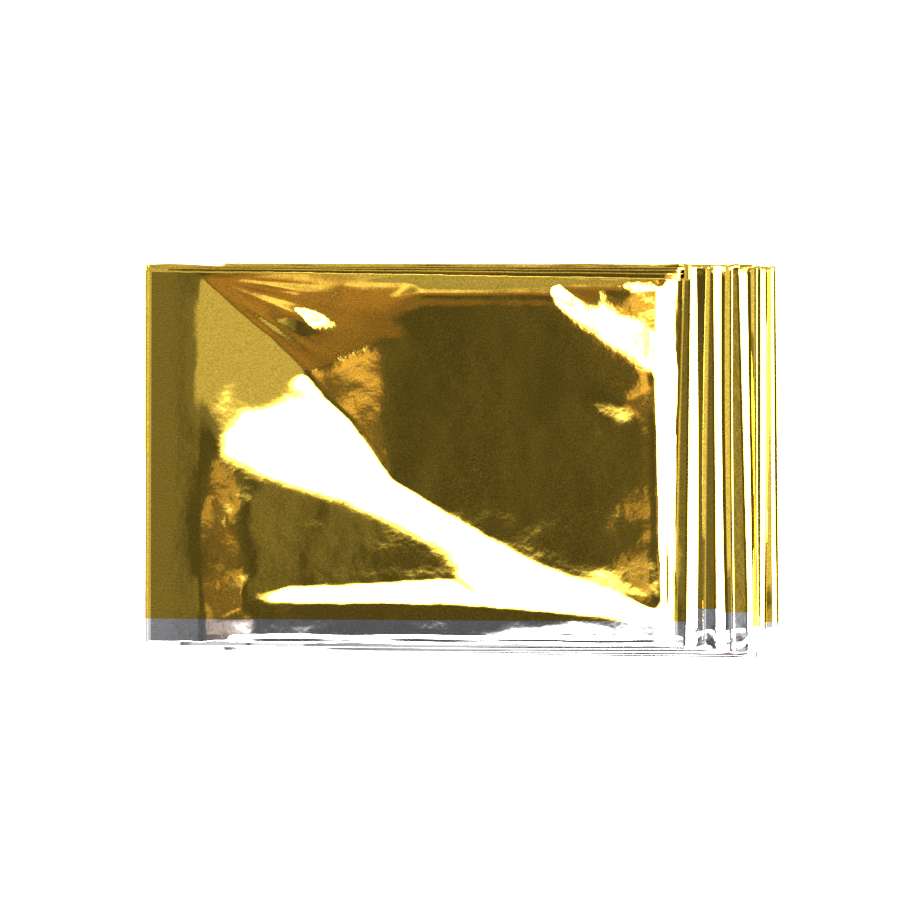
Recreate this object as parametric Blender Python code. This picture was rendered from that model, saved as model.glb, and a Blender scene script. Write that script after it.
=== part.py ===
"""Emergency foil blanket, folded to its pocket size and lying flat.

One rectangle of metallised film is pleated across its width into a strip of narrow plies, and the
strip is then laid back and forth into a short stack of panels. Each panel is modelled here as one
layer: the plies of the strip with the air between them. The stack leans, so that the folds at the
right end lie side by side as rounded crests, and the first panel has a short flap tucked under it
at the left end.

Frame: +X along the panels, +Y across them, +Z up, origin under the middle of the stack.
"""

import math
from collections import namedtuple

import bmesh
import bpy
from mathutils import Vector

MM = 0.001

# Sizes in millimetres.
LAYER = 1.0  # thickness of one panel: its plies and the air between them
GAP = 0.25  # air between two panels
PITCH = LAYER + GAP
CREST_RUN = 1.6  # length over which a panel rises into its crest
PUFF = 1.7  # how far the top panel is blown up in its middle
RIDGE = 0.6  # height of the ridge that crosses the top panel from corner to corner
RIDGE_WIDTH = 9.0
PUFF_LEAN = 0.8  # below 1, it is highest nearer its left end
PUFF_FALL = 0.4  # and this share lower at its right end
FLAP_STEP_RUN = 3.5  # length over which the top panel comes down past the flap's end
RIM_DROOP = 0.03  # how far the fold at the left sags where nothing holds it up

# How finely the loft is cut.
STATIONS = 14  # sections from the front edge to the back edge
TURN_STEPS = 6
PUFF_STEPS = 14
RUN_STEPS = 4

FLAP = 0  # the panels are counted from the flap down, in the order of the film
TOP_PANEL = 1

# One row for each end of a panel, from the flap's cut end to the cut end under the stack.
# side: +1 for a fold at the right, -1 at the left, 0 for a cut end.
# x_front and x_back: how far the fold reaches, at the front edge (-Y) and at the back edge (+Y).
# front and back: y of the two edges of the strip at this fold.
# rise: how far the fold stands above its own panel.
Fold = namedtuple("Fold", "side x_front x_back front back rise")
FOLDS = (
    Fold(0, -55.2, -55.6, -38.4, 39.4, 0.0),
    Fold(-1, -67.7, -67.5, -38.7, 41.6, 0.0),
    Fold(+1, 48.0, 48.95, -39.9, 41.7, 0.15),
    Fold(-1, -60.3, -59.6, -39.9, 41.3, 0.0),
    Fold(+1, 54.55, 53.85, -40.6, 41.4, 0.25),
    Fold(-1, -51.0, -50.2, -40.9, 41.2, 0.0),
    Fold(+1, 61.5, 59.3, -41.2, 41.8, 0.3),
    Fold(-1, -49.4, -49.0, -41.1, 41.6, 0.0),
    Fold(+1, 63.95, 64.05, -42.3, 41.2, 0.25),
    Fold(-1, -50.6, -50.9, -41.2, 42.1, 0.0),
    Fold(+1, 68.0, 67.3, -36.8, 41.4, 0.2),
    Fold(-1, -48.2, -47.6, -41.2, 42.2, 0.0),
    Fold(+1, 63.6, 62.9, -41.6, 41.9, 0.0),
    Fold(-1, -50.8, -51.2, -41.1, 42.0, 0.0),
    Fold(+1, 61.2, 60.4, -41.7, 41.7, 0.0),
    Fold(0, -49.0, -48.4, -41.0, 41.8, 0.0),
)
PANELS = len(FOLDS) - 1

FILM_COLOUR = (0.80, 0.56, 0.14, 1.0)
FILM_ROUGHNESS = 0.12
FILM_METALLIC = 1.0
SMOOTH_ANGLE = math.radians(35.0)


def mix(a, b, t):
    return a + (b - a) * t


def smooth(t):
    """0 to 1 with level ends, and held at them beyond."""
    t = min(max(t, 0.0), 1.0)
    return t * t * (3.0 - 2.0 * t)


def fold_x(index, v):
    return mix(FOLDS[index].x_front, FOLDS[index].x_back, v)


def fold_y(index, v):
    return mix(FOLDS[index].front, FOLDS[index].back, v)


def resting_level(panel):
    """Height of a panel's middle layer where it lies flat. The flap takes the top panel's place."""
    return LAYER / 2.0 + (PANELS - 1 - max(panel, TOP_PANEL)) * PITCH


def rim_sag(x, v):
    """How far the flap and the panel over it hang down past the last panel that holds them."""
    support = fold_x(TOP_PANEL + 2, v)
    rim = fold_x(TOP_PANEL, v)
    return RIM_DROOP * smooth((support - x) / (support - rim))


def ridge(x, v):
    """The corner-to-corner ridge of the top panel, as a share of its height."""
    left, right = FOLDS[FLAP], FOLDS[TOP_PANEL + 1]
    along = Vector((right.x_front - left.x_back, right.front - left.back)).normalized()
    at = Vector((x - left.x_back, fold_y(TOP_PANEL, v) - left.back))
    off = (at.x * along.y - at.y * along.x) / RIDGE_WIDTH
    return math.exp(-off * off)


def top_shape(x, v):
    """Height of the top panel over its level: lifted by the flap, blown up and ridged beyond it."""
    flap_end = fold_x(FLAP, v)
    crest = fold_x(TOP_PANEL + 1, v) - LAYER
    lift = PITCH * (1.0 - smooth((x - flap_end) / FLAP_STEP_RUN))
    across = min(max((x - flap_end) / (crest - flap_end), 0.0), 1.0)
    swollen = math.sin(math.pi * across**PUFF_LEAN) * math.sin(math.pi * v)
    swollen = math.sqrt(max(swollen, 0.0))
    return lift + swollen * (PUFF * (1.0 - PUFF_FALL * across) + RIDGE * ridge(x, v))


def height(panel, x, v):
    """Height of a panel's middle layer."""
    level = resting_level(panel)
    if panel <= TOP_PANEL:
        level -= rim_sag(x, v)
    if panel == TOP_PANEL:
        level += top_shape(x, v)
    ahead = FOLDS[panel + 1]
    if ahead.rise:
        inward = fold_x(panel + 1, v) - LAYER - x
        level += ahead.rise * (1.0 - smooth(inward / CREST_RUN))
    return level


def turn(index, v):
    """The middle layer's points round one fold, as a half circle that joins its two panels."""
    side = FOLDS[index].side
    reach = fold_x(index, v) - side * (LAYER + GAP / 2.0)
    enter = height(index - 1, reach, v)
    leave = height(index, reach, v)
    radius = abs(enter - leave) / 2.0
    centre_x = fold_x(index, v) - side * (radius + LAYER / 2.0)
    centre_z = (enter + leave) / 2.0
    quarter = math.copysign(math.pi / 2.0, enter - leave)
    points = []
    for step in range(TURN_STEPS + 1):
        angle = quarter * (1.0 - 2.0 * step / TURN_STEPS)
        x = centre_x + side * radius * math.cos(angle)
        z = centre_z + radius * math.sin(angle)
        points.append(Vector((x, fold_y(index, v), z)))
    return points


def cut_end(index, panel, v):
    x = fold_x(index, v)
    return [Vector((x, fold_y(index, v), height(panel, x, v)))]


def steps_along(panel, start, stop, v):
    """The places between two folds where the panel's shape is sampled."""
    if panel == TOP_PANEL:
        flap_end = fold_x(FLAP, v)
        run = [flap_end + FLAP_STEP_RUN * i / RUN_STEPS for i in range(RUN_STEPS)]
        sag = [mix(start, flap_end, i / RUN_STEPS) for i in range(1, RUN_STEPS)]
        puffed = flap_end + FLAP_STEP_RUN
        level_end = stop - CREST_RUN
        middle = [mix(puffed, level_end, i / PUFF_STEPS) for i in range(PUFF_STEPS)]
        rise = [mix(level_end, stop, i / RUN_STEPS) for i in range(RUN_STEPS)]
        return sag + run + middle + rise
    if panel == FLAP:
        return [mix(start, stop, i / RUN_STEPS) for i in range(1, RUN_STEPS)]
    if FOLDS[panel + 1].rise:
        return [mix(stop - CREST_RUN, stop, i / RUN_STEPS) for i in range(RUN_STEPS)]
    return []


def middle_layer(v):
    """The strip's middle layer from the flap's end to the bottom of the stack, as one line."""
    ends = [cut_end(0, FLAP, v)]
    ends += [turn(index, v) for index in range(1, PANELS)]
    ends += [cut_end(PANELS, PANELS - 1, v)]
    line = list(ends[0])
    for panel in range(PANELS):
        here, there = ends[panel][-1], ends[panel + 1][0]
        for x in steps_along(panel, here.x, there.x, v):
            y = mix(here.y, there.y, (x - here.x) / (there.x - here.x))
            line.append(Vector((x, y, height(panel, x, v))))
        line.extend(ends[panel + 1])
    return line


def offset(line, distance):
    """The line moved sideways in its own upright plane."""
    moved = []
    for i, point in enumerate(line):
        ahead = line[min(i + 1, len(line) - 1)]
        behind = line[max(i - 1, 0)]
        along = Vector((ahead.x - behind.x, ahead.z - behind.z)).normalized()
        moved.append(point + Vector((-along.y, 0.0, along.x)) * distance)
    return moved


def section(v):
    """The closed outline of the folded strip at one station across it."""
    line = middle_layer(v)
    return offset(line, LAYER / 2.0) + offset(line, -LAYER / 2.0)[::-1]


def loft(mesh_name):
    """Skins the sections from the front edge to the back edge and closes both edges."""
    bm = bmesh.new()
    rings = []
    for i in range(STATIONS + 1):
        rings.append([bm.verts.new(point * MM) for point in section(i / STATIONS)])
    count = len(rings[0])
    for near, far in zip(rings, rings[1:]):
        for i in range(count):
            j = (i + 1) % count
            bm.faces.new((near[i], near[j], far[j], far[i]))
    for ring in (rings[0], rings[-1]):
        for i in range(count // 2 - 1):
            bm.faces.new((ring[i], ring[i + 1], ring[count - 2 - i], ring[count - 1 - i]))
    bmesh.ops.recalc_face_normals(bm, faces=bm.faces)
    bmesh.ops.triangulate(bm, faces=bm.faces)
    mesh = bpy.data.meshes.new(mesh_name)
    bm.to_mesh(mesh)
    bm.free()
    return mesh


def centre_on_origin(mesh):
    """Moves the mesh so that the middle of its box's underside is the origin."""
    low = Vector([min(v.co[axis] for v in mesh.vertices) for axis in range(3)])
    high = Vector([max(v.co[axis] for v in mesh.vertices) for axis in range(3)])
    middle = (low + high) / 2.0
    for vertex in mesh.vertices:
        vertex.co -= Vector((middle.x, middle.y, low.z))


def film_material():
    material = bpy.data.materials.new("gold_film")
    material.use_nodes = True
    shader = material.node_tree.nodes["Principled BSDF"]
    shader.inputs["Base Color"].default_value = FILM_COLOUR
    shader.inputs["Roughness"].default_value = FILM_ROUGHNESS
    shader.inputs["Metallic"].default_value = FILM_METALLIC
    return material


def main():
    for thing in list(bpy.data.objects):
        bpy.data.objects.remove(thing, do_unlink=True)
    parts = bpy.data.collections.new("emergency_foil_blanket")
    bpy.context.scene.collection.children.link(parts)
    mesh = loft("foil_blanket")
    centre_on_origin(mesh)
    mesh.materials.append(film_material())
    mesh.shade_smooth()
    mesh.set_sharp_from_angle(angle=SMOOTH_ANGLE)
    blanket = bpy.data.objects.new("foil_blanket", mesh)
    parts.objects.link(blanket)


main()
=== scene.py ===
"""Looks of the folded emergency foil blanket.

The blanket is one sheet of film, gold on one side and silver on the other. It is pleated across
its 2.1 m into a strip of 26 plies, and the strip is laid back and forth along its 1.6 m into a
flap and 14 panels. The mesh below is that sheet: a row of points for each place along the strip,
and a column for each place across the plies.
"""

import math
from collections import namedtuple

import bpy
import numpy as np
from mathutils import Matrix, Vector
from mathutils.geometry import delaunay_2d_cdt


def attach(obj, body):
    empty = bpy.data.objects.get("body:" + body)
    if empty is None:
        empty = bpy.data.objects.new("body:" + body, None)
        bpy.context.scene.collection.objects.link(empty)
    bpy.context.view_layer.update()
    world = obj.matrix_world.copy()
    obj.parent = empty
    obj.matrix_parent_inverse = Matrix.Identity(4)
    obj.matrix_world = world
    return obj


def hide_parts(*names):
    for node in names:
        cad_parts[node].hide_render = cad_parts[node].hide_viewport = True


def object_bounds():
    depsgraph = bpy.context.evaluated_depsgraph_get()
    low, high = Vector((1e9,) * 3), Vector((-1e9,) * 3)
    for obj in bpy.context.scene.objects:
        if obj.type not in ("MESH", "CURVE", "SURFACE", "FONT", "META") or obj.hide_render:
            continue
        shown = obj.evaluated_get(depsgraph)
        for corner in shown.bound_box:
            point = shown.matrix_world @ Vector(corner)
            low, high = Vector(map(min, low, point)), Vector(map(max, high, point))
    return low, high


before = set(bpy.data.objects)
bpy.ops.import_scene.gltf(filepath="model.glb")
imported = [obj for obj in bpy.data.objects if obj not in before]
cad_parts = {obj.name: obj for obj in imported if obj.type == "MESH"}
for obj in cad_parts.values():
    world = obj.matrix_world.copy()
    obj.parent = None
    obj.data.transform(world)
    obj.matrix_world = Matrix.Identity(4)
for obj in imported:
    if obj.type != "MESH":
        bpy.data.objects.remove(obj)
CAD_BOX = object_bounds()

MM = 0.001

# The folded strip, in millimetres, as in the part's source.
LAYER = 1.0  # thickness of one panel: its plies and the air between them
GAP = 0.25  # air between two panels
PITCH = LAYER + GAP
FLAP_STEP_RUN = 3.5  # length over which the top panel comes down past the flap's end
RIM_DROOP = 0.03  # how far the fold at the left sags where nothing holds it up
FLAP = 0  # the panels are counted from the flap down, in the order of the film
TOP_PANEL = 1

# One row for each end of a panel, from the flap's cut end to the cut end under the stack.
# side: +1 for a fold at the right, -1 at the left, 0 for a cut end.
# x_front and x_back: how far the fold reaches at the front edge (-Y) and at the back edge (+Y).
# front and back: y of the strip's two edges there.
# margin: how far the gold face of the first ply stops short of the front edge.
Fold = namedtuple("Fold", "side x_front x_back front back margin")
FOLDS = (
    Fold(0, -55.2, -55.6, -38.4, 39.4, 4.6),
    Fold(-1, -67.7, -67.5, -38.7, 41.6, 4.9),
    Fold(+1, 48.0, 48.95, -39.9, 41.7, 5.4),
    Fold(-1, -60.3, -59.6, -39.9, 41.3, 6.2),
    Fold(+1, 54.55, 53.85, -40.6, 41.4, 8.8),
    Fold(-1, -51.0, -50.2, -40.9, 41.2, 6.0),
    Fold(+1, 61.5, 59.3, -41.2, 41.8, 8.6),
    Fold(-1, -49.4, -49.0, -41.1, 41.6, 6.3),
    Fold(+1, 63.95, 64.05, -42.3, 41.2, 6.6),
    Fold(-1, -50.6, -50.9, -41.2, 42.1, 6.1),
    Fold(+1, 68.0, 67.3, -36.8, 41.4, 2.0),
    Fold(-1, -48.2, -47.6, -41.2, 42.2, 5.8),
    Fold(+1, 63.6, 62.9, -41.6, 41.9, 6.4),
    Fold(-1, -50.8, -51.2, -41.1, 42.0, 6.1),
    Fold(+1, 61.2, 60.4, -41.7, 41.7, 5.5),
    Fold(0, -49.0, -48.4, -41.0, 41.8, 5.9),
)
PANELS = len(FOLDS) - 1

# The creases beside each fold at the right, from left to right: x at the front edge, half way and at
# the back edge, and the film's height over its panel there. Between them it is flat.
Crease = namedtuple("Crease", "x_front x_middle x_back height")
CRESTS = {
    2: (
        Crease(44.8, 45.4, 46.0, 0.0),
        Crease(45.15, 46.05, 47.35, 0.0),
        Crease(45.9, 46.4, 47.7, 0.11),
    ),
    4: (
        Crease(44.4, 45.2, 45.5, 0.0),
        Crease(47.4, 48.3, 48.5, 0.15),
        Crease(50.2, 50.4, 50.0, 0.0),
        Crease(51.6, 51.45, 52.3, 0.035),
        Crease(51.95, 52.25, 53.05, 0.27),
    ),
    6: (
        Crease(51.3, 50.8, 50.6, 0.0),
        Crease(54.3, 53.8, 53.6, 0.13),
        Crease(56.4, 55.5, 55.35, 0.0),
        Crease(57.2, 56.35, 56.3, 0.0),
        Crease(57.9, 57.3, 57.3, 0.29),
        Crease(58.15, 57.65, 57.65, 0.29),
        Crease(58.4, 57.85, 57.8, 0.26),
    ),
    8: (
        Crease(58.5, 57.0, 56.2, 0.0),
        Crease(61.2, 59.9, 59.1, 0.10),
        Crease(62.35, 61.6, 60.95, 0.0),
        Crease(62.85, 62.25, 61.8, 0.0),
        Crease(63.15, 62.75, 62.6, 0.24),
        Crease(63.3, 63.0, 62.95, 0.24),
        Crease(63.4, 63.2, 63.15, 0.22),
    ),
    10: (
        Crease(60.8, 60.8, 60.8, 0.0),
        Crease(63.5, 63.7, 63.7, 0.08),
        Crease(64.6, 65.0, 64.9, 0.0),
        Crease(65.15, 65.45, 65.5, 0.0),
        Crease(66.5, 66.15, 66.1, 0.22),
        Crease(67.4, 66.9, 66.7, 0.16),
    ),
}
CREST_LEAN = {2: 0.03, 4: 0.03, 6: 0.045, 8: 0.035, 10: 0.035}  # slope past the last crease
TURN_REACH = 0.12  # how far a turn reaches out to its middle layer
TURN_POWER = 30.0  # how square it is
# The top panel and the flap slope down between these distances from their left end, by this much.
RIM_BEVEL, RIM_BEVEL_DROP = (0.3, 1.4), 0.28
SLOPE_STEP = 0.02  # distance over which a panel's slope is measured

# Where the rows are: 2.3 is three tenths of the way from a panel's knot 2 to its knot 3.
# Up to the first crease of the top panel, up to that of a panel below it, and between two creases.
TOP_PLACES = [np.linspace(0.0, 0.02, 9), np.linspace(0.03, 1.0, 226), 1.0 + np.arange(1, 19) / 19.0]
CREASED_PLACES = [np.array([0.0, 0.33, 0.67, 1.0])]
BESIDE_CREASE = np.array([0.03, 0.07, 0.5, 0.93, 0.97])
NET_SHARE = 0.945  # share of the top panel's length at which it has its knot 1
FLAP_ROWS, HIDDEN_ROWS = 5, 6  # in the flap, and in a panel with no creases
# And in the first half of a turn, as shares of its angle: where it shows, and elsewhere.
SHOWN_TURN = np.array([0.02, 0.22, 0.235, 0.25, 0.265, 0.28])
HIDDEN_TURN = np.array([0.06, 0.22, 0.4])

# The pleated film.
PLIES = 26
STACK = 0.9  # from the first ply to the last one, in millimetres
SKIN_GAP = 0.1  # between the first or last ply and the one inside it
EDGE_UNEVEN = 0.28  # how far the ply folds wander from the strip's edges
EDGE_WAVE = 14.0  # and over what length

RNG = np.random.default_rng(7)

# Crumpled film at the front ends of the folds at the right, in front of y and right of x.
CRUMPLE_FROM, CRUMPLE_FADE = (49.5, -37.2), 2.4
# And a little at their back ends: behind y and right of x, how much of it, and how soon it is there.
CRUMPLE_BACK, CRUMPLE_BACK_SHARE, CRUMPLE_BACK_FADE = (48.6, 38.6), 0.7, 1.5
CRUMPLE_SIDE_FADE = 2.0
CRUMPLE_RNG = np.random.default_rng(23)
# Each set of folds: the way it crosses, how wide a fold is, how high, and where it begins.
CRUMPLE_FOLDS = [
    (
        CRUMPLE_RNG.uniform(0.5, 2.6),
        CRUMPLE_RNG.uniform(0.8, 2.0),
        CRUMPLE_RNG.uniform(0.03, 0.065),
        CRUMPLE_RNG.uniform(0.0, 2.0),
    )
    for _ in range(5)
]


def mix(a, b, t):
    return a + (b - a) * t


def smooth(t):
    """0 to 1 with level ends, and held at them beyond."""
    t = np.clip(t, 0.0, 1.0)
    return t * t * (3.0 - 2.0 * t)


# ---------------------------------------------------------------- the folded strip


def fold_x(index, v):
    return mix(FOLDS[index].x_front, FOLDS[index].x_back, v)


def resting_level(panel):
    """Height of a panel's middle layer where it lies flat. The flap takes the top panel's place."""
    return LAYER / 2.0 + (PANELS - 1 - max(panel, TOP_PANEL)) * PITCH


def rim_sag(x, v):
    """How far the flap and the panel over it hang down past the last panel that holds them."""
    support = fold_x(TOP_PANEL + 2, v)
    rim = fold_x(TOP_PANEL, v)
    return RIM_DROOP * smooth((support - x) / (support - rim))


def flap_step(x, v):
    """How much higher the top panel stands where it lies on the flap."""
    return PITCH * (1.0 - smooth((x - fold_x(FLAP, v)) / FLAP_STEP_RUN))


def crease_x(crease, v):
    """The curve through a crease's three places."""
    pull = 2.0 * crease.x_middle - (crease.x_front + crease.x_back) / 2.0
    return mix(mix(crease.x_front, pull, v), mix(pull, crease.x_back, v), v)


def crest_height(index, x, v):
    """Height of the creased film beside a fold at the right, over its panel."""
    creases = CRESTS[index]
    level = CREST_LEAN[index] * np.maximum(x - crease_x(creases[-1], v), 0.0)
    for here, ahead in zip(creases, creases[1:]):
        start, stop = crease_x(here, v), crease_x(ahead, v)
        passed = np.clip((x - start) / (stop - start), 0.0, 1.0)
        level = level + (ahead.height - here.height) * passed
    return level


def even_height(panel, x, v):
    """Height of a panel's middle layer, as if the flap weren't there."""
    level = resting_level(panel) + 0.0 * v
    if panel <= TOP_PANEL:
        inward = x - fold_x(TOP_PANEL, v)
        bevel = np.clip((RIM_BEVEL[1] - inward) / (RIM_BEVEL[1] - RIM_BEVEL[0]), 0.0, 1.0)
        level = level - rim_sag(x, v) - RIM_BEVEL_DROP * bevel
    if panel + 1 in CRESTS:
        level = level + crest_height(panel + 1, x, v)
    return level


def height(panel, x, v):
    """Height of a panel's middle layer, without the relief of the top panel's own plies."""
    level = even_height(panel, x, v)
    return level + flap_step(x, v) if panel == TOP_PANEL else level


def turn_centre(index, v):
    """(x, z, half its height, +1 if the film goes down through the turn and -1 if up)."""
    centre = fold_x(index, v) - FOLDS[index].side * (TURN_REACH + LAYER / 2.0)
    enter = height(index - 1, centre, v)
    leave = height(index, centre, v)
    down = -1.0 if index == TOP_PANEL else 1.0
    return centre, (enter + leave) / 2.0, np.abs(enter - leave) / 2.0, down


def panel_ends(panel, v):
    """x where the panel leaves one turn and where it enters the next."""
    ends = []
    for index in (panel, panel + 1):
        if FOLDS[index].side:
            ends.append(turn_centre(index, v)[0])
        else:
            ends.append(fold_x(index, v))
    return ends


def knots(panel, v):
    """x of the places between which a panel's rows are spread, from its start to its end."""
    start, stop = panel_ends(panel, v)
    inner = [mix(start, stop, NET_SHARE)] if panel == TOP_PANEL else []
    inner += [crease_x(crease, v) for crease in CRESTS.get(panel + 1, ())]
    return [start] + inner + [stop]


def knot_x(panel, t, v):
    """x at a place between the knots."""
    places = knots(panel, v)
    before = min(int(t), len(places) - 2)
    return mix(places[before], places[before + 1], t - before)


# t: the row's place between the panel's knots, or its share of the turn's angle.
# share: its share of the panel's length.
Row = namedtuple("Row", "panel turn t share")


def place(row, v):
    """Middle layer at one row: x, z, and the way in which the first ply lies from there."""
    if row.turn is not None:
        x, z, half, down = turn_centre(row.turn, v)
        side = FOLDS[row.turn].side
        angle = down * math.pi * (0.5 - row.t)
        away = abs(math.cos(angle)) ** TURN_POWER + abs(math.sin(angle)) ** TURN_POWER
        away = away ** (-1.0 / TURN_POWER)
        out_x, out_z = side * away * math.cos(angle), away * math.sin(angle)
        outer = 1.0 if side > 0 else -1.0  # the first ply is outside at the right folds
        return (
            x + TURN_REACH * out_x,
            z + half * out_z,
            outer * out_x + 0.0 * v,
            outer * out_z + 0.0 * v,
        )
    x = knot_x(row.panel, row.t, v)
    z = height(row.panel, x, v)
    ahead = even_height(row.panel, x + SLOPE_STEP, v)
    behind = even_height(row.panel, x - SLOPE_STEP, v)
    slope = (ahead - behind) / (2 * SLOPE_STEP)
    long = np.sqrt(1.0 + slope * slope)
    up = 1.0 if row.panel % 2 else -1.0
    return x, z, -up * slope / long, up / long


def crumple(x, y):
    """Sharp small folds in the film, near the two ends of the folds at the right."""
    total = 0.0 * x
    for way, width, high, start in CRUMPLE_FOLDS:
        phase = x * math.cos(way) + y * math.sin(way)
        total = total + high * (0.5 - np.abs(((phase / width + start) % 2.0) - 1.0))
    front = smooth((x - CRUMPLE_FROM[0]) / CRUMPLE_SIDE_FADE)
    front = front * (1.0 - smooth((y - CRUMPLE_FROM[1]) / CRUMPLE_FADE))
    back = CRUMPLE_BACK_SHARE * smooth((x - CRUMPLE_BACK[0]) / CRUMPLE_SIDE_FADE)
    back = back * smooth((y - CRUMPLE_BACK[1]) / CRUMPLE_BACK_FADE)
    return total * (front + back)


def strip_edge(row, name):
    """A value from the fold table, part way between the folds at the panel's two ends."""
    if row.turn is not None:
        return getattr(FOLDS[row.turn], name)
    return mix(getattr(FOLDS[row.panel], name), getattr(FOLDS[row.panel + 1], name), row.share)


def panel_places(panel):
    """Where a panel has its rows, between its knots: closest where it shows, and at its creases."""
    creases = len(CRESTS.get(panel + 1, ()))
    if not creases:
        return np.linspace(0.0, 1.0, FLAP_ROWS if panel == FLAP else HIDDEN_ROWS)
    places = list(TOP_PLACES if panel == TOP_PANEL else CREASED_PLACES)
    first = 2 if panel == TOP_PANEL else 1
    places += [first + i + BESIDE_CREASE for i in range(creases)]
    return np.append(np.concatenate(places), first + creases)


def turn_shares(index):
    """Shares of a turn's angle at which it has a row, closest round its two corners."""
    half = SHOWN_TURN if index in CRESTS or index == TOP_PANEL else HIDDEN_TURN
    return np.concatenate([half, 1.0 - half[::-1]])


def strip_rows():
    """Every row from the flap's end to the last panel's end."""
    rows = []
    half = 0.5  # half way from the front edge to the back edge
    for panel in range(PANELS):
        start, stop = panel_ends(panel, half)
        for t in panel_places(panel):
            share = (knot_x(panel, float(t), half) - start) / (stop - start)
            rows.append(Row(panel, None, float(t), float(share)))
        if panel < PANELS - 1:
            rows += [Row(None, panel + 1, float(t), float(t)) for t in turn_shares(panel + 1)]
    return rows


# ---------------------------------------------------------------- unevenness of the edges


class Wander:
    """A smooth random line along the strip, the same each run."""

    waves = 5
    sizes = (0.5, 1.0)
    lengths = (0.5, 2.5)

    def __init__(self, size, length):
        self.size = size * RNG.uniform(*self.sizes, self.waves)
        self.rate = 2.0 * math.pi / (length * RNG.uniform(*self.lengths, self.waves))
        self.phase = RNG.uniform(0.0, 2.0 * math.pi, self.waves)

    def __call__(self, s):
        parts = self.size * np.sin(self.rate * s + self.phase)
        return float(parts.sum()) / math.sqrt(len(self.size))


# Ply folds: fold k joins ply k - 1 to ply k. Odd folds are at the back edge, even ones in front.
FOLD_WANDER = [Wander(EDGE_UNEVEN, EDGE_WAVE) for _ in range(PLIES + 1)]
# How far each of them stops short of the strip's edge, in millimetres.
FOLD_INSET = RNG.uniform(0.2, 0.6, PLIES + 1)
FOLD_INSET[[2, PLIES - 2]] = 0.0  # the uppermost ones in front reach furthest
# How far the uppermost back folds of the top panel's plies stop short, at its left and right ends.
BACK_STEPS = {1: (1.3, 3.2), 3: (0.75, 2.1), 5: (0.4, 1.3), 7: (0.2, 0.7)}
LAST_MARGIN = 3.6  # how far the last ply's cut edge stops short of the front edge
LAST_WANDER, STEP_WANDER = 0.3, 0.15  # how much of a fold's inset that edge and those folds have


def along_top(row):
    """How far along the top panel a row is, and nothing for a row of another panel."""
    if row.panel == TOP_PANEL:
        return row.share
    if row.turn == TOP_PANEL or row.panel == FLAP:
        return 0.0
    return 1.0 if row.turn == TOP_PANEL + 1 and row.t < 0.5 else None


def ply_end(k, row, s):
    """y of ply fold k, or of the film's cut edge, at one row."""
    inset = FOLD_WANDER[0](s) + FOLD_INSET[k] * (0.5 + abs(FOLD_WANDER[k](s)) / EDGE_UNEVEN)
    if k == 0:
        return strip_edge(row, "front") + strip_edge(row, "margin")
    if k == PLIES:
        return strip_edge(row, "front") + LAST_MARGIN + LAST_WANDER * inset
    if k in BACK_STEPS and along_top(row) is not None:
        short = mix(*BACK_STEPS[k], along_top(row))
        return strip_edge(row, "back") - short - STEP_WANDER * inset
    if k % 2:
        return strip_edge(row, "back") - max(inset, 0.0)
    return strip_edge(row, "front") + max(inset, 0.0)


# ---------------------------------------------------------------- relief of the top panel

# How much of it each ply has, from the first one down.
RELIEF_SHARE = (1.0, 0.9, 0.6, 0.4, 0.25, 0.15, 0.08, 0.03)
EDGE_FALL = 0.03  # how much less of it each ply has at its edges than the ply above
FALL_FROM, FALL_TO = -50.0, -38.0  # x between which the plies' edges come to have less of it
# A ply below the first one shows at the front edge up to this share of the way across, less and
# less over the next share, and again at the back edge from the third.
SHOWN_FRONT, SHOWN_FADE, SHOWN_BACK = 0.1, 0.15, 0.98

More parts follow.
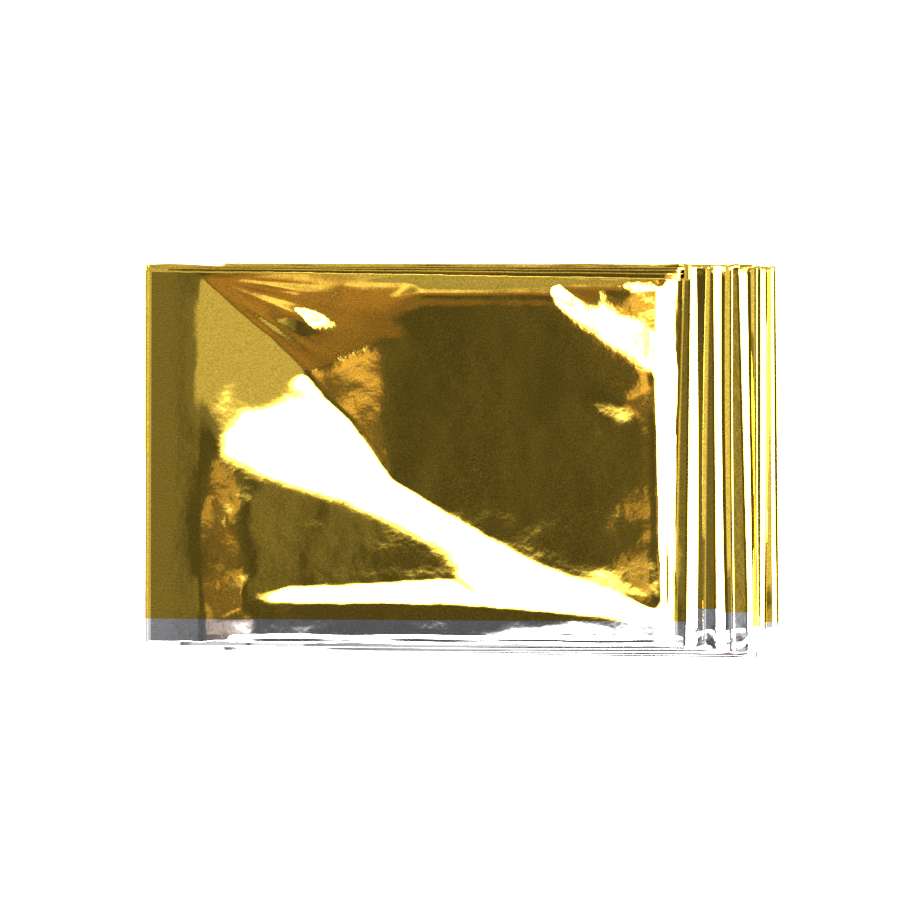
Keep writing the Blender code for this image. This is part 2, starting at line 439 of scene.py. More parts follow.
# The film's creases over the top panel: points (x, y, height above its own panel) in millimetres.
# Between them it is nearly flat.
RIDGE = (
    (-55.4, 39.0, 1.25),
    (-41.2, 26.5, 1.99),
    (-33.2, 18.5, 2.40),
    (-28.6, 12.7, 2.22),
    (-23.5, 8.1, 2.06),
    (-21.2, 4.7, 1.97),
    (-14.3, -5.0, 1.65),
    (-5.0, -10.8, 1.45),
    (4.0, -15.9, 1.28),
    (13.9, -21.4, 1.13),
    (23.6, -25.5, 1.05),
    (30.9, -28.0, 0.97),
    (41.4, -32.6, 0.82),
)
CREASES = (
    RIDGE,
    # over the flap's end
    (
        (-55.4, 44.0, 1.25),
        (-55.4, 39.0, 1.25),
        (-55.4, 9.8, 1.25),
        (-55.2, 0.0, 1.25),
        (-55.8, -8.0, 1.25),
        (-56.3, -12.0, 1.25),
        (-56.0, -18.0, 1.25),
        (-55.2, -27.0, 1.25),
        (-54.8, -34.0, 1.25),
        (-54.8, -44.0, 1.25),
    ),
    # across the upper left
    (
        (-55.4, 9.8, 1.25),
        (-50.5, 9.8, 1.32),
        (-46.5, 9.8, 1.56),
        (-39.4, 10.2, 1.93),
        (-38.4, 15.5, 2.08),
        (-33.2, 18.5, 2.40),
    ),
    # foot of the slope on the ridge's lower left, round the hollow
    (
        (-50.5, 9.8, 1.32),
        (-48.6, 4.4, 1.30),
        (-46.5, 1.0, 0.95),
        (-41.8, -1.6, 0.92),
        (-36.6, -4.4, 0.90),
        (-25.2, -7.9, 0.95),
        (-14.3, -11.9, 1.00),
        (-6.9, -15.9, 0.98),
        (-2.2, -19.3, 0.92),
        (-0.3, -22.2, 0.85),
        (-2.9, -25.7, 0.89),
        (-17.2, -26.8, 0.91),
        (-37.3, -27.4, 0.82),
        (-46.5, -29.0, 0.79),
    ),
    # down to the strip along the front, and the first ply's edge
    (
        (-46.5, -31.5, 0.80),
        (-41.5, -29.8, 0.775),
        (-39.5, -30.1, 0.735),
        (-36.0, -30.0, 0.66),
        (-17.0, -30.0, 0.53),
        (-5.0, -30.2, 0.50),
        (5.0, -31.0, 0.50),
        (14.0, -31.8, 0.50),
        (24.0, -32.5, 0.51),
        (33.0, -33.3, 0.48),
        (41.4, -34.2, 0.44),
    ),
    (
        (-52.0, -33.7, 1.13),
        (-43.6, -33.6, 0.785),
        (-41.5, -33.6, 0.77),
        (-39.5, -33.5, 0.73),
        (-36.0, -33.5, 0.65),
        (-17.0, -33.8, 0.54),
        (0.0, -34.0, 0.52),
        (24.0, -34.3, 0.52),
        (41.0, -35.0, 0.43),
    ),
    (
        (-52.0, -37.6, 1.13),
        (-44.6, -37.6, 0.785),
        (-41.5, -37.6, 0.76),
        (-39.5, -37.6, 0.72),
        (-36.0, -37.6, 0.63),
        (0.0, -38.0, 0.50),
        (41.0, -38.2, 0.40),
    ),
    (
        (-54.0, -41.5, 1.20),
        (-46.5, -41.5, 0.79),
        (-41.5, -41.5, 0.75),
        (-36.0, -41.5, 0.59),
        (0.0, -41.7, 0.49),
        (41.0, -41.9, 0.40),
    ),
    # down to the strip along the back, and its edge
    (
        (-50.0, 38.2, 1.20),
        (-41.2, 37.5, 1.15),
        (-25.0, 37.4, 0.95),
        (-10.0, 37.4, 0.82),
        (5.0, 37.3, 0.70),
        (20.0, 37.1, 0.62),
        (30.0, 36.9, 0.53),
        (42.0, 36.6, 0.27),
    ),
    (
        (-50.0, 40.2, 1.14),
        (-41.0, 40.0, 0.86),
        (-25.0, 39.7, 0.50),
        (-10.0, 39.4, 0.18),
        (5.0, 39.1, 0.08),
        (20.0, 38.8, 0.04),
        (42.0, 38.4, 0.0),
    ),
    (
        (-50.0, 46.0, 1.13),
        (-41.0, 46.0, 0.84),
        (-25.0, 46.0, 0.46),
        (-10.0, 46.0, 0.15),
        (20.0, 46.0, 0.0),
        (42.0, 46.0, 0.0),
    ),
    # trough on the ridge's upper right
    (
        (-21.2, 4.7, 1.97),
        (-17.0, 8.0, 1.74),
        (-16.0, 15.0, 1.66),
        (-16.8, 25.0, 1.66),
        (-17.5, 33.0, 1.30),
    ),
    # the corner at the upper right turns down
    (
        (19.3, 35.0, 1.04),
        (21.3, 32.4, 1.04),
        (25.1, 28.3, 1.04),
        (28.1, 26.2, 1.03),
        (32.6, 23.6, 1.00),
        (37.3, 20.6, 0.98),
        (41.8, 16.8, 0.95),
    ),
    # a gentle hollow in that corner
    (
        (19.3, 35.0, 1.04),
        (27.0, 31.6, 0.80),
        (33.5, 30.6, 0.60),
        (37.6, 32.6, 0.50),
        (36.5, 35.9, 0.50),
    ),
    # a shallow fold beside it, and its foot
    (
        (24.4, 16.0, 1.18),
        (28.8, 14.1, 1.23),
        (31.8, 12.6, 1.235),
        (35.6, 12.4, 1.205),
        (38.4, 13.7, 1.06),
    ),
    (
        (26.9, 11.4, 1.13),
        (31.8, 8.7, 1.075),
        (35.6, 7.4, 1.035),
        (38.6, 5.7, 1.01),
    ),
    # brow beside the first crest
    (
        (42.0, 36.6, 0.27),
        (41.9, 26.0, 0.53),
        (41.8, 16.8, 0.95),
        (42.1, 5.0, 0.98),
        (42.6, -12.0, 0.95),
        (43.0, -22.0, 0.90),
        (43.2, -30.0, 0.82),
        (43.2, -34.5, 0.40),
    ),
    # a small dent beside it, in front
    (
        (29.6, -22.5, 1.085),
        (30.7, -20.2, 1.09),
        (36.4, -19.6, 1.0),
        (40.0, -23.4, 0.88),
        (41.2, -30.0, 0.81),
        (35.0, -25.5, 0.97),
        (29.6, -22.5, 1.085),
    ),
    # and the crease between the two
    (
        (38.0, -18.5, 0.98),
        (41.3, -23.0, 0.91),
        (42.3, -30.0, 0.84),
    ),
    # the brow's foot
    (
        (46.3, 44.0, 0.0),
        (45.5, 20.0, 0.0),
        (44.95, 0.0, 0.0),
        (44.6, -20.0, 0.0),
        (44.4, -33.0, 0.0),
        (44.3, -44.0, 0.0),
    ),
)
# Single points of the same kind, between the creases and beyond the panel's edges.
LEVELS = (
    (-12.0, -19.0, 0.96),
    (-25.0, -17.0, 0.90),
    (-50.6, 2.0, 1.13),
    (-45.2, -6.0, 0.80),
    (-47.2, -14.0, 0.76),
    (-44.8, -21.0, 0.75),
    (-35.0, 34.5, 1.50),
    (-25.0, 33.5, 1.30),
    (-9.0, 25.0, 1.46),
    (-8.0, 35.4, 1.30),
    (5.0, 35.4, 1.20),
    (12.0, 35.4, 1.09),
    (-2.0, 5.0, 1.52),
    (0.0, 20.0, 1.42),
    (12.0, 8.0, 1.31),
    (12.0, -8.0, 1.27),
    (18.0, 24.0, 1.14),
    (24.0, 8.0, 1.19),
    (33.0, 17.5, 1.06),
    (33.0, 0.0, 1.065),
    (30.0, -8.0, 1.10),
    (37.5, -9.0, 1.02),
    (14.0, -17.5, 1.17),
    (22.0, -21.5, 1.085),
    (-72.0, -50.0, 1.25),
    (-72.0, 50.0, 1.25),
    (52.0, 48.0, 0.0),
    (52.0, -48.0, 0.0),
)
# The grid on which the film's height is worked out: its two corners and its step.
NET_LOW, NET_HIGH, NET_STEP = (-70.0, -46.0), (50.0, 46.0), 0.5

# Small bumps and dents on the film: middle, how far it reaches along and across its own length,
# the angle of that length in degrees, and its height.
Bump = namedtuple("Bump", "x y along across angle height")
BUMPS = (
    Bump(-36.0, 30.2, 6.5, 2.2, -20.0, 0.19),
    Bump(-49.6, -13.0, 2.6, 1.1, 100.0, -0.012),
    Bump(-51.6, -21.5, 1.8, 0.9, 60.0, 0.008),
    Bump(-55.6, -12.0, 22.0, 0.5, 90.0, 0.010),
    Bump(-37.6, 7.0, 2.6, 0.7, -20.0, -0.05),
    Bump(-33.0, 7.0, 2.0, 0.6, 10.0, -0.04),
)
# Fine folds that spread from the corner of the raised part, at the upper left.
SPREAD_FROM = (-55.4, 39.0)
SPREAD_ANGLES = (-0.72, -0.04)  # from the ridge to the back edge, in radians
SPREAD_SIDE_FADE = 0.08  # and over what angle they fade there
SPREAD_FULL, SPREAD_REACH = 12.0, 34.0  # they die away between these distances from the corner
SPREAD_HEIGHT, SPREAD_HEIGHT_AT = 0.035, 20.0  # their height, and how far from the corner
SPREAD_WAVES = ((31.0, 0.6, 1.0), (53.0, 2.0, 0.6), (83.0, 0.0, 0.4))  # rate, phase, share
# Steps along the front edge: where they are at the left, how they slant, how far they go down and
# over what distance, how long their waves are, and from which x to which they go.
Ledge = namedtuple("Ledge", "y slant drop run wave start stop")
LEDGES = (
    Ledge(-37.2, -0.004, 0.07, 0.75, 4.1, -50.0, 46.0),
    Ledge(-38.6, -0.005, 0.06, 0.5, 5.3, -54.0, 46.0),
    Ledge(-39.6, -0.006, 0.04, 0.25, 6.1, -46.0, 46.0),
)
LEDGE_TILT = 0.014  # how the film between them rises towards the front
LEDGE_WANDER, LEDGE_FADE = 0.12, 3.0  # how far they wander, and over what length they begin and end
# Slow and fine unevenness all over: (size of the waves, their height).
UNEVEN = ((3.4, 0.011), (1.2, 0.0035))
UNEVEN_RNG = np.random.default_rng(11)
UNEVEN_FROM, UNEVEN_TO, UNEVEN_FADE = -66.9, 46.9, 1.0  # none of it at the folds
CALM_TO, CALM_FADE, CALM = -54.0, 4.0, 0.4  # less of it over the flap, up to this x
# Rounding of the creases: within CRISP_REACH of the ridge, in front of, behind and right of the
# three edges they are crisp, and elsewhere soft.
SOFT, CRISP = 1.7, 0.45
CRISP_REACH, RIDGE_SLANT = 3.5, 0.75  # the second is distance from the ridge for one along y
CRISP_FRONT, CRISP_BACK, CRISP_RIGHT, CRISP_FADE = -23.5, 33.0, 38.5, 3.0


def net_triangles():
    """The creases' points, joined up into flat triangles."""
    points, edges = [], []
    for chain in CREASES:
        last = None
        for point in chain:
            if point not in points:
                points.append(point)
            here = points.index(point)
            if last is not None:
                edges.append((last, here))
            last = here
    points += LEVELS
    flat = [Vector(p[:2]) for p in points]
    every_triangle, same_point = 0, 1e-5
    found = delaunay_2d_cdt(flat, edges, [], every_triangle, same_point)
    assert len(found[0]) == len(points), "two creases cross"
    heights = [points[origin[0]][2] for origin in found[3]]
    return np.array([tuple(p) for p in found[0]]), np.array(heights), np.array(found[2])


def net_heights():
    """Heights of the triangles over a regular grid, x by y."""
    places, heights, triangles = net_triangles()
    x = np.arange(NET_LOW[0], NET_HIGH[0] + NET_STEP, NET_STEP)
    y = np.arange(NET_LOW[1], NET_HIGH[1] + NET_STEP, NET_STEP)
    x, y = np.meshgrid(x, y, indexing="ij")
    surface = np.zeros_like(x)
    slack = 1e-6  # so that points on an edge belong to both its triangles
    for a, b, c in triangles:
        (ax, ay), (bx, by), (cx, cy) = places[a], places[b], places[c]
        area = (bx - ax) * (cy - ay) - (cx - ax) * (by - ay)
        to_b = ((x - ax) * (cy - ay) - (cx - ax) * (y - ay)) / area
        to_c = ((bx - ax) * (y - ay) - (x - ax) * (by - ay)) / area
        inside = (to_b >= -slack) & (to_c >= -slack) & (to_b + to_c <= 1.0 + slack)
        value = heights[a] + to_b * (heights[b] - heights[a]) + to_c * (heights[c] - heights[a])
        surface[inside] = value[inside]
    return surface


def blurred(surface, size):
    """The surface rounded off over a distance in millimetres."""
    reach = int(math.ceil(3.0 * size / NET_STEP))
    weights = np.exp(-0.5 * (np.arange(-reach, reach + 1) * NET_STEP / size) ** 2)
    weights /= weights.sum()
    for axis in (0, 1):
        pad = [(0, 0), (0, 0)]
        pad[axis] = (reach, reach)
        wide = np.pad(surface, pad, mode="edge")
        total = np.zeros_like(surface)
        for i, weight in enumerate(weights):
            part = [slice(None), slice(None)]
            part[axis] = slice(i, i + surface.shape[axis])
            total += weight * wide[tuple(part)]
        surface = total
    return surface


def unevenness(shape):
    """Random waves over the grid, in each of the sizes of UNEVEN."""
    total = np.zeros(shape)
    for size, height_of_waves in UNEVEN:
        waves = blurred(UNEVEN_RNG.normal(size=shape), size)
        total += waves * height_of_waves / waves.std()
    return total


NET = net_heights()
SOFT_NET, CRISP_NET = blurred(NET, SOFT), blurred(NET, CRISP)
UNEVENNESS = unevenness(NET.shape)


def read_grid(surface, x, y):
    """The grid's value at any place, from the four points round it."""
    i = np.clip((x - NET_LOW[0]) / NET_STEP, 0.0, surface.shape[0] - 1.001)
    j = np.clip((y - NET_LOW[1]) / NET_STEP, 0.0, surface.shape[1] - 1.001)
    i0, j0 = i.astype(int), j.astype(int)
    u, v = i - i0, j - j0
    low = mix(surface[i0, j0], surface[i0 + 1, j0], u)
    high = mix(surface[i0, j0 + 1], surface[i0 + 1, j0 + 1], u)
    return mix(low, high, v)


def small_shapes(x, y):
    """Bumps, fine folds and unevenness of the top panel's film."""
    total = read_grid(UNEVENNESS, x, y)
    for bump in BUMPS:
        turn = math.radians(bump.angle)
        along = (x - bump.x) * math.cos(turn) + (y - bump.y) * math.sin(turn)
        across = (y - bump.y) * math.cos(turn) - (x - bump.x) * math.sin(turn)
        off = (along / bump.along) ** 2
        total = total + bump.height * np.exp(-off - (across / bump.across) ** 2)
    dx, dy = x - SPREAD_FROM[0], y - SPREAD_FROM[1]
    far = np.hypot(dx, dy)
    angle = np.arctan2(dy, np.maximum(dx, 0.01))
    low, high = SPREAD_ANGLES
    inside = smooth((angle - low) / SPREAD_SIDE_FADE) * smooth((high - angle) / SPREAD_SIDE_FADE)
    fall = smooth((far - SPREAD_FULL) / (SPREAD_REACH - SPREAD_FULL))
    fade = smooth(far / SPREAD_FULL) * (1.0 - fall)
    folds = sum(share * np.sin(rate * angle + phase) for rate, phase, share in SPREAD_WAVES)
    return total + SPREAD_HEIGHT * inside * fade * folds * (far / SPREAD_HEIGHT_AT)


def ledges(x, y):
    """Narrow steps down towards the front edge, as the plies under the film press through."""
    total = LEDGE_TILT * np.maximum(LEDGES[0].y - y, 0.0)
    for ledge in LEDGES:
        line = ledge.y + ledge.slant * (x - SPREAD_FROM[0])
        line = line + LEDGE_WANDER * np.sin(x / ledge.wave + ledge.wave)
        shown = smooth((x - ledge.start) / LEDGE_FADE)
        shown = shown * (1.0 - smooth((x - ledge.stop) / LEDGE_FADE))
        total = total - ledge.drop * shown * smooth((line - y) / ledge.run)
    return total


def relief(x, y, step):
    """Height of the film over its own panel, in millimetres, where the panel already stands a step
    higher on the flap."""
    from_ridge = y - np.interp(x, [p[0] for p in RIDGE], [p[1] for p in RIDGE])
    crisp = np.exp(-((RIDGE_SLANT * from_ridge / CRISP_REACH) ** 2))
    for past in (CRISP_FRONT - y, y - CRISP_BACK, x - CRISP_RIGHT):
        crisp = np.maximum(crisp, smooth(past / CRISP_FADE))
    body = mix(read_grid(SOFT_NET, x, y), read_grid(CRISP_NET, x, y), crisp)
    away = smooth((x - UNEVEN_FROM) / UNEVEN_FADE) * smooth((UNEVEN_TO - x) / UNEVEN_FADE)
    away = away * mix(CALM, 1.0, smooth((x - CALM_TO) / CALM_FADE + 1.0))
    return body - step + away * (small_shapes(x, y) + ledges(x, y))


# ---------------------------------------------------------------- the sheet

Column = namedtuple("Column", "ply w gold")  # w: share of the way from the front edge to the back

# Shares of a ply's width at which it has a column, closest where it shows: for the first three
# plies, each as runs that follow each other, and for the others.
FIRST_PLIES = (
    (np.linspace(0.0, 0.10, 18), np.linspace(0.107, 0.93, 104), np.linspace(0.937, 1.0, 14)),
    ((0.0, 0.0015), np.linspace(0.003, 0.095, 33), np.linspace(0.2, 0.95, 6), (0.985, 1.0)),
    ((0.0, 0.0015, 0.02, 0.12, 0.5, 0.997, 1.0),),
)
OTHER_PLIES = ((0.0, 0.0015, 0.5, 0.997, 1.0),)
SEAM = 0.02  # where on the third ply the closely set rows end
BACK_EDGE = 0.93  # share across from which the first ply keeps every column on every panel
# Below the top panel the first ply has every sixth column and the second every third. The plies
# inside have every tenth row of the top panel.
SPARSE_GOLD, SPARSE_SILVER, SPARSE_ROW = 6, 3, 10


def strip_columns():
    """Every column across the plies, in the order of the film."""
    columns = []
    for ply in range(PLIES):
        shares = np.concatenate(FIRST_PLIES[ply] if ply < len(FIRST_PLIES) else OTHER_PLIES)
        for w in shares if ply % 2 == 0 else shares[::-1]:
            columns.append(Column(ply, float(w), ply in (0, PLIES - 1) or w >= 0.5))
    return columns


def ply_level(ply):
    """How far a ply lies from the middle layer, towards the first ply."""
    if ply in (0, PLIES - 1):
        return STACK * (0.5 if ply == 0 else -0.5)
    return (STACK - 2.0 * SKIN_GAP) * (0.5 - (ply - 1) / (PLIES - 3))


def relief_share(ply, w):
    """How much of the top panel's relief a ply has: nearly all where it shows, at its edges."""
    inside = RELIEF_SHARE[ply] if ply < len(RELIEF_SHARE) else 0.0
    if ply == 0:
        return inside
    shown = 1.0 - float(smooth((w - SHOWN_FRONT) / SHOWN_FADE)) if ply == 1 else float(w < SHOWN_FRONT)
    shown = max(shown, float(w > SHOWN_BACK))
    return mix(inside, 1.0 - EDGE_FALL * (ply - 1), shown)


def lengths_along(rows):
    """How far each row is from the flap's end, along the strip."""
    half = np.array([0.5])
    points = np.array([[float(c[0]) for c in place(row, half)[:2]] for row in rows])
    steps = np.linalg.norm(np.diff(points, axis=0), axis=1)
    return np.concatenate([[0.0], np.cumsum(steps)])


def grid(rows, columns):
    """The points of the sheet, rows by columns, in metres."""
    plies = np.array([c.ply for c in columns])
    shares = np.array([c.w for c in columns])
    levels = np.array([ply_level(ply) for ply in plies])
    share = np.array([relief_share(ply, w) for ply, w in zip(plies, shares)])
    hidden = (shares >= SHOWN_FRONT) & (shares <= SHOWN_BACK)
    points = np.empty((len(rows), len(columns), 3))
    for i, (row, s) in enumerate(zip(rows, lengths_along(rows))):
        ends = np.array([ply_end(k, row, s) for k in range(PLIES + 1)])
        # An even ply runs from its own fold in front to the next fold at the back.
        front = np.where(plies % 2 == 0, ends[plies], ends[plies + 1])
        back = np.where(plies % 2 == 0, ends[plies + 1], ends[plies])
        y = mix(front, back, shares)
        low, high = strip_edge(row, "front"), strip_edge(row, "back")
        x, z, nx, nz = place(row, (y - low) / (high - low))
        x = x + levels * nx
        z = z + levels * nz
        if row.panel == TOP_PANEL:
            # At the left the plies' edges follow the first ply, and what is hidden never does.
            falls = np.where(hidden, 1.0, smooth((x - FALL_FROM) / (FALL_TO - FALL_FROM)))
            less = mix(1.0, share, falls)
            z = z + less * relief(x, y, flap_step(x, (y - low) / (high - low)))
        elif (row.panel if row.turn is None else row.turn) >= TOP_PANEL + 2:
            z = z + share * crumple(x, y)
        points[i] = np.stack([x, y, z], axis=1)
    return points * MM


def beside_crease(row):
    """Whether a row is one of the two next to a crease."""
    if row.panel is None or row.panel + 1 not in CRESTS or row.t < 1.0:
        return False
    return min(row.t % 1.0, 1.0 - row.t % 1.0) < 1.5 * BESIDE_CREASE[0]


def blocks_of(rows, columns):
    """The sheet's faces as blocks of the grid: (row, row, column, column).

    The first plies have every row. Their columns are close together over the top panel only. The
    plies inside have few rows.
    """
    seam = next(j for j, c in enumerate(columns) if c.ply == 2 and c.w >= SEAM)
    bare = next(j for j, c in enumerate(columns) if c.ply == 1)
    last_fine = max(i for i, row in enumerate(rows) if row.turn == TOP_PANEL + 1)
    fine = range(seam + 1)
    shown = range(bare, seam + 1)
    sparse = set(range(0, bare, SPARSE_GOLD)) | {bare - 1, bare, seam}
    sparse |= {j for j in range(bare) if columns[j].w > BACK_EDGE}
    sparse |= {j for j in shown if columns[j].w < SHOWN_FRONT and columns[j].ply == 1}
    sparse |= {j for j in shown if j % SPARSE_SILVER == 0}
    sparse = sorted(sparse)
    ends = [i for i, row in enumerate(rows) if row.turn is not None or row.share in (0.0, 1.0)]
    few = {i for i in ends if rows[i].turn is None or i % 2}
    few |= {i for i, row in enumerate(rows) if beside_crease(row)}
    few |= {i for i in range(0, len(rows), SPARSE_ROW) if rows[i].panel == TOP_PANEL}
    few = sorted(few)
    blocks = []
    for i in range(len(rows) - 1):
        steps = fine if i < last_fine else sparse
        blocks += [(i, i + 1, a, b) for a, b in zip(steps, steps[1:])]
    for top, low in zip(few, few[1:]):
        blocks += [(top, low, j, j + 1) for j in range(seam, len(columns) - 1)]
    return blocks


def sheet_mesh():
    """The whole sheet as one mesh, with the first material on its gold face."""
    rows, columns = strip_rows(), strip_columns()
    points = grid(rows, columns)
    blocks = blocks_of(rows, columns)
    used = np.zeros(points.shape[:2], dtype=bool)
    for top, low, left, right in blocks:
        used[top, left] = used[top, right] = used[low, left] = used[low, right] = True
    numbers = np.full(used.shape, -1)
    numbers[used] = np.arange(used.sum())
    faces, silver = [], []
    for top, low, left, right in blocks:
        ring = [numbers[top, j] for j in range(left, right + 1)]
        ring += [numbers[i, right] for i in range(top + 1, low + 1)]
        ring += [numbers[low, j] for j in range(right - 1, left - 1, -1)]
        ring += [numbers[i, left] for i in range(low - 1, top, -1)]
        faces.append([int(n) for n in ring if n >= 0])
        silver.append(0 if columns[left].gold and columns[right].gold else 1)
    mesh = bpy.data.meshes.new("foil_blanket")
    mesh.from_pydata(points[used].tolist(), [], faces)
    mesh.polygons.foreach_set("material_index", silver)
    mesh.shade_smooth()
    return mesh


# ---------------------------------------------------------------- materials

# Each face's colour, its darker shade and its roughness.
GOLD = (1.0, 0.69, 0.10), (0.60, 0.385, 0.045), 0.028
SILVER = (0.95, 0.95, 0.97), (0.75, 0.75, 0.78), 0.032
# The film's fine unevenness: scale and detail of the noise.
SPECKLE, CLOUDS, PEEL, GRAIN = (3200.0, 2.0), (220.0, 4.0), (600.0, 1.0), (2400.0, 2.0)
SPECKLE_RANGE = (0.3, 0.7)
CLOUDS_RANGE = (0.6, 1.4)  # how far the roughness goes down and up
PEEL_HEIGHT, GRAIN_HEIGHT = 0.000006, 0.000001  # in metres


def film(name, colour, shade, roughness):
    """Metallised film: nearly a mirror, with the fine unevenness of thin plastic."""
    material = bpy.data.materials.new(name)
    material.use_nodes = True
    nodes, links = material.node_tree.nodes, material.node_tree.links
    shader = nodes["Principled BSDF"]
    shader.inputs["Metallic"].default_value = 1.0
    where = nodes.new("ShaderNodeTexCoord")

    def noise(scale, detail):
        node = nodes.new("ShaderNodeTexNoise")
        node.inputs["Scale"].default_value = scale
        node.inputs["Detail"].default_value = detail
        links.new(where.outputs["Object"], node.inputs["Vector"])
        return node.outputs["Fac"]

    def bump(height, distance, under=None):
        node = nodes.new("ShaderNodeBump")
        node.inputs["Strength"].default_value = 1.0
        node.inputs["Distance"].default_value = distance
        links.new(height, node.inputs["Height"])
        if under:
            links.new(under, node.inputs["Normal"])
        return node.outputs["Normal"]

    tint = nodes.new("ShaderNodeMix")
    tint.data_type = "RGBA"
    tint.inputs["A"].default_value = (*colour, 1.0)
    tint.inputs["B"].default_value = (*shade, 1.0)
    contrast = nodes.new("ShaderNodeMapRange")
    contrast.inputs["From Min"].default_value = SPECKLE_RANGE[0]
    contrast.inputs["From Max"].default_value = SPECKLE_RANGE[1]
    links.new(noise(*SPECKLE), contrast.inputs["Value"])
    links.new(contrast.outputs["Result"], tint.inputs["Factor"])
    links.new(tint.outputs["Result"], shader.inputs["Base Color"])
    rough = nodes.new("ShaderNodeMapRange")
    rough.inputs["To Min"].default_value = roughness * CLOUDS_RANGE[0]
    rough.inputs["To Max"].default_value = roughness * CLOUDS_RANGE[1]
    links.new(noise(*CLOUDS), rough.inputs["Value"])
    links.new(rough.outputs["Result"], shader.inputs["Roughness"])
    peel = bump(noise(*PEEL), PEEL_HEIGHT)
    grain = bump(noise(*GRAIN), GRAIN_HEIGHT, peel)
    links.new(grain, shader.inputs["Normal"])
    return material


# ---------------------------------------------------------------- studio

CAMERA = (-0.0005, 0.0001, 2.0)  # it looks straight down
VIEW_WIDTH, VIEW_LEVEL = 0.1952, 0.017  # how wide its view is, and how high up it is as wide
SENSOR, CLIP = 36.0, (0.01, 20.0)
FLOOR_REACH, FLOOR_BELOW = 3.0, 0.0001  # half the floor's width, and its depth under the blanket
FLOOR_GREY, FLOOR_ROUGHNESS = (0.9, 0.9, 0.9, 1.0), 0.9


def add_camera():
    """Above the blanket and looking down, as in the picture."""
    data = bpy.data.cameras.new("camera")
    data.sensor_width = SENSOR
    data.lens = data.sensor_width * (CAMERA[2] - VIEW_LEVEL) / VIEW_WIDTH
    data.clip_start, data.clip_end = CLIP
    camera = bpy.data.objects.new("camera", data)
    camera.location = CAMERA
    bpy.context.collection.objects.link(camera)
    bpy.context.scene.camera = camera


# The studio's light between its cards: how far up one looks, from level to straight up, and its grey.
DOME = ((0.0, 0.9), (0.5, 0.5), (0.9, 0.25), (0.97, 0.12), (1.0, 0.10))
LOWEST = 0.02  # the cards are laid out as if one never looked lower than this
# The cards overhead, as the sheet mirrors them. left, right, near and far are the tangents of the
# directions in which a card begins and ends; soft is how wide its edge is, and fall how slowly it
# brightens there. Where cards overlap their light adds up.
Card = namedtuple("Card", "name left right near far radiance colour soft fall")
WHITE, WARM, AMBER = (1.0, 1.0, 1.0), (1.0, 0.56, 0.30), (1.0, 0.72, 0.5)
CARDS = (
    Card("key", -0.50, 0.14, -0.60, -0.050, 22.0, WHITE, 0.070, 3.0),
    Card("left_dim", -0.33, -0.02, -0.045, 0.08, 0.09, WHITE, 0.02, 1.0),
    Card("left_band", -0.33, -0.033, -0.045, 0.08, 0.045, WHITE, 0.010, 1.0),
    Card("left_glow", -0.33, -0.064, -0.045, 0.08, 0.46, WHITE, 0.030, 1.0),
    Card("left", -0.75, -0.36, -0.30, 0.35, 0.75, WHITE, 0.03, 1.0),
    Card("right_dim", 0.03, 0.10, -0.30, 0.06, 0.03, WHITE, 0.03, 1.0),
    Card("right", 0.105, 1.30, -0.45, 0.50, 20.0, WHITE, 0.040, 3.0),
    Card("corner", 0.066, 0.105, 0.068, 0.50, 20.0, WHITE, 0.030, 3.0),
    Card("warm_right", 0.058, 0.11, -0.20, 0.085, 0.095, WARM, 0.030, 1.0),
    Card("leaf", 0.050, 0.070, -0.06, -0.014, 0.42, AMBER, 0.012, 1.0),
    Card("patch", 0.066, 0.11, 0.022, 0.092, 0.90, AMBER, 0.020, 1.0),
    Card("gleam", -0.06, 0.02, 0.25, 0.50, 1.2, WHITE, 0.09, 1.0),
    Card("warm_back", -0.15, 0.058, 0.072, 0.45, 0.17, WARM, 0.030, 1.0),
    Card("warm_glow", -0.10, 0.050, 0.13, 0.40, 0.20, WARM, 0.090, 1.0),
    Card("back", -0.60, 0.30, 0.46, 1.30, 0.25, WHITE, 0.03, 1.0),
)


def add_floor():
    mesh = bpy.data.meshes.new("floor")
    far = FLOOR_REACH
    corners = [(-far, -far, 0), (far, -far, 0), (far, far, 0), (-far, far, 0)]
    mesh.from_pydata(corners, [], [(0, 1, 2, 3)])
    floor = bpy.data.objects.new("floor", mesh)
    floor.location.z = CAD_BOX[0][2] - FLOOR_BELOW
    material = bpy.data.materials.new("floor")
    material.use_nodes = True
    shader = material.node_tree.nodes["Principled BSDF"]
    shader.inputs["Base Color"].default_value = FLOOR_GREY
    shader.inputs["Roughness"].default_value = FLOOR_ROUGHNESS
    mesh.materials.append(material)
    bpy.context.collection.objects.link(floor)


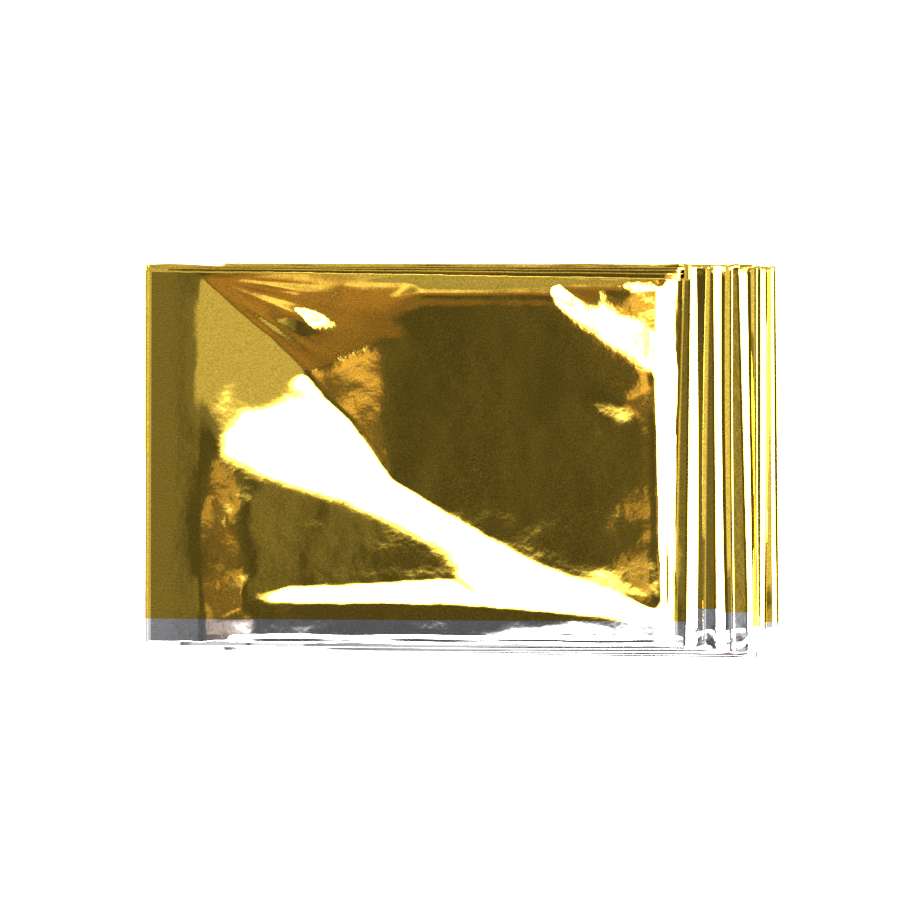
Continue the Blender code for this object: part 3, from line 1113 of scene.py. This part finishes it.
def studio():
    """Camera, floor, and the light from all round as the world's colour."""
    add_camera()
    add_floor()
    world = bpy.data.worlds.new("studio")
    bpy.context.scene.world = world
    world.use_nodes = True
    nodes, links = world.node_tree.nodes, world.node_tree.links

    def math_node(operation, *values):
        node = nodes.new("ShaderNodeMath")
        node.operation = operation
        for socket, value in zip(node.inputs, values):
            if isinstance(value, float):
                socket.default_value = value
            else:
                links.new(value, socket)
        return node.outputs[0]

    def ramp_up(value, start, stop):
        node = nodes.new("ShaderNodeMapRange")
        node.interpolation_type = "SMOOTHSTEP"
        node.inputs["From Min"].default_value = start
        node.inputs["From Max"].default_value = stop
        links.new(value, node.inputs["Value"])
        return node.outputs["Result"]

    way = nodes.new("ShaderNodeTexCoord")
    parts = nodes.new("ShaderNodeSeparateXYZ")
    links.new(way.outputs["Generated"], parts.inputs["Vector"])
    rise = math_node("MAXIMUM", parts.outputs["Z"], LOWEST)
    across = math_node("DIVIDE", parts.outputs["X"], rise)
    along = math_node("DIVIDE", parts.outputs["Y"], rise)
    ramp = nodes.new("ShaderNodeValToRGB")
    links.new(parts.outputs["Z"], ramp.inputs["Fac"])
    stops = ramp.color_ramp.elements
    stops[0].position, stops[1].position = DOME[0][0], DOME[-1][0]
    for position, _ in DOME[1:-1]:
        stops.new(position)
    for stop, (_, grey) in zip(stops, DOME):
        stop.color = (grey, grey, grey, 1.0)
    total = ramp.outputs["Color"]
    for card in CARDS:
        half = card.soft / 2.0
        inside = [
            ramp_up(across, card.left - half, card.left + half),
            math_node("SUBTRACT", 1.0, ramp_up(across, card.right - half, card.right + half)),
            ramp_up(along, card.near - half, card.near + half),
            math_node("SUBTRACT", 1.0, ramp_up(along, card.far - half, card.far + half)),
        ]
        share = inside[0]
        for part in inside[1:]:
            share = math_node("MULTIPLY", share, part)
        if card.fall != 1.0:
            share = math_node("POWER", share, card.fall)
        add = nodes.new("ShaderNodeMix")
        add.label = card.name
        add.data_type = "RGBA"
        add.blend_type = "ADD"
        add.clamp_factor = False
        share = math_node("MULTIPLY", share, card.radiance)
        links.new(share, add.inputs["Factor"])
        links.new(total, add.inputs["A"])
        add.inputs["B"].default_value = (*card.colour, 1.0)
        total = add.outputs["Result"]
    links.new(total, nodes["Background"].inputs["Color"])
    bpy.context.scene.view_settings.view_transform = "Standard"


# ---------------------------------------------------------------- assembly

studio()
mesh = sheet_mesh()
mesh.materials.append(film("gold_film", *GOLD))
mesh.materials.append(film("silver_film", *SILVER))
blanket = bpy.data.objects.new("foil_sheet", mesh)
bpy.context.collection.objects.link(blanket)
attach(blanket, "root")
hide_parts("foil_blanket")
